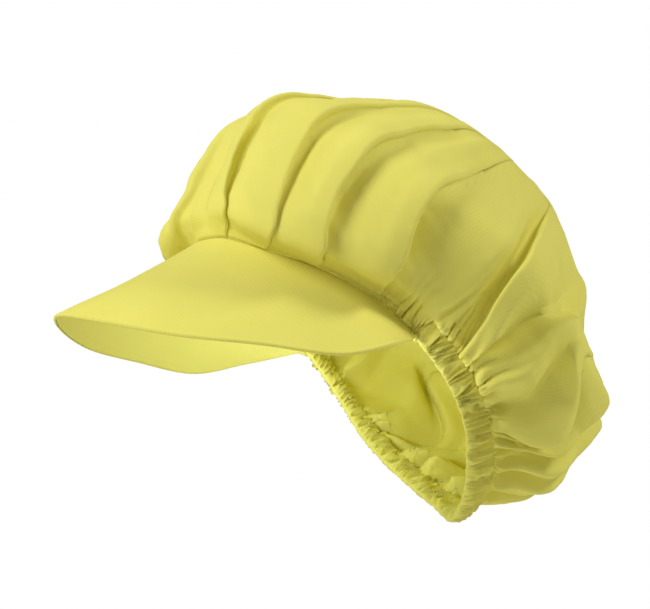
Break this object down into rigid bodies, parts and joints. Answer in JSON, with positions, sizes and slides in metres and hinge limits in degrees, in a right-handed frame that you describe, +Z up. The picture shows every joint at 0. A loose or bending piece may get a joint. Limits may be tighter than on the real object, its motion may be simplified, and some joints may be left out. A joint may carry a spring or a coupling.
{
  "type": "peaked catering cap",
  "caption": "Soft mob cap with a curved peak: a full round crown pleated onto the forehead seam and gathered into an elastic casing round the sides and nape.",
  "frame": {"origin": "on the upright axis of the wearer's head, level with the middle of the seam between the peak and the crown, 84 mm behind that seam", "axes": "+Z up, -Y forwards along the peak, +X towards the wearer's left"},
  "size_m": [0.2242, 0.3137, 0.2338],
  "materials": {
    "crown_cloth": "matt twill weave",
    "casing_cloth": "matt twill weave, ruched",
    "peak_cloth": "matt twill weave, drawn smooth"
  },
  "bodies": {
    "root": {"crown": "crown_cloth", "elastic_casing": "casing_cloth", "peak_upper": "peak_cloth", "peak_lower": "peak_cloth"}
  },
  "joints": []
}
